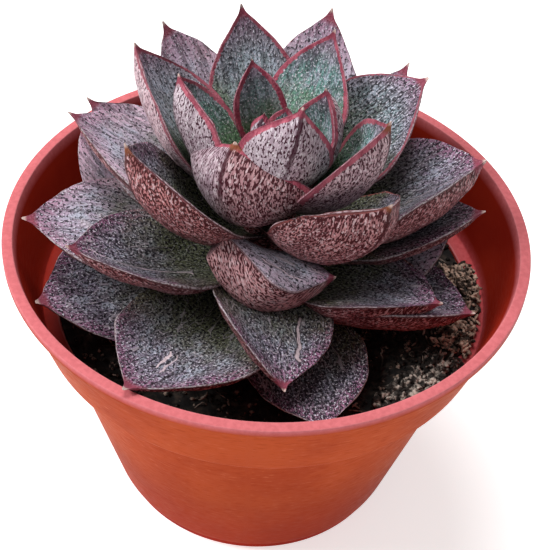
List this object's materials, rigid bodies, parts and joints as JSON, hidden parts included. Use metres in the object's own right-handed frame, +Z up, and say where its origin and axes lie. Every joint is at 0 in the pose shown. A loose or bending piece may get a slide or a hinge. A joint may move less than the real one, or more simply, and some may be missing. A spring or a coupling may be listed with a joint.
{
  "type": "potted echeveria",
  "caption": "Echeveria rosette of thick pointed purple-grey leaves with red margins, standing in soil in a plain terracotta-coloured plastic pot.",
  "frame": {"origin": "middle of the pot's foot ring, on the surface that it stands on", "axes": "+Z up along the pot's axis, -Y to the front of the plant, +X to its right"},
  "size_m": [0.12, 0.12, 0.119],
  "materials": {
    "pot_plastic": "satin moulded, faint scuffs",
    "peat": "loose black peat with fibres and small pale grains",
    "leaf_skin": "waxy matte skin, grey above, purple-brown below, pink to red margins"
  },
  "bodies": {
    "root": {"pot": "pot_plastic", "soil": "peat", "stem": "leaf_skin", "leaf_01": "leaf_skin", "leaf_02": "leaf_skin", "leaf_03": "leaf_skin", "leaf_04": "leaf_skin", "leaf_05": "leaf_skin", "leaf_06": "leaf_skin", "leaf_07": "leaf_skin", "leaf_08": "leaf_skin", "leaf_09": "leaf_skin", "leaf_10": "leaf_skin", "leaf_11": "leaf_skin", "leaf_12": "leaf_skin", "leaf_13": "leaf_skin", "leaf_14": "leaf_skin", "leaf_15": "leaf_skin", "leaf_16": "leaf_skin", "leaf_17": "leaf_skin", "leaf_18": "leaf_skin", "leaf_19": "leaf_skin", "leaf_20": "leaf_skin", "leaf_21": "leaf_skin", "leaf_22": "leaf_skin", "leaf_23": "leaf_skin", "leaf_24": "leaf_skin", "leaf_25": "leaf_skin", "leaf_26": "leaf_skin", "leaf_27": "leaf_skin", "leaf_28": "leaf_skin", "leaf_29": "leaf_skin", "leaf_30": "leaf_skin", "leaf_31": "leaf_skin", "leaf_32": "leaf_skin", "leaf_33": "leaf_skin", "leaf_34": "leaf_skin", "leaf_35": "leaf_skin", "leaf_36": "leaf_skin"}
  },
  "joints": []
}
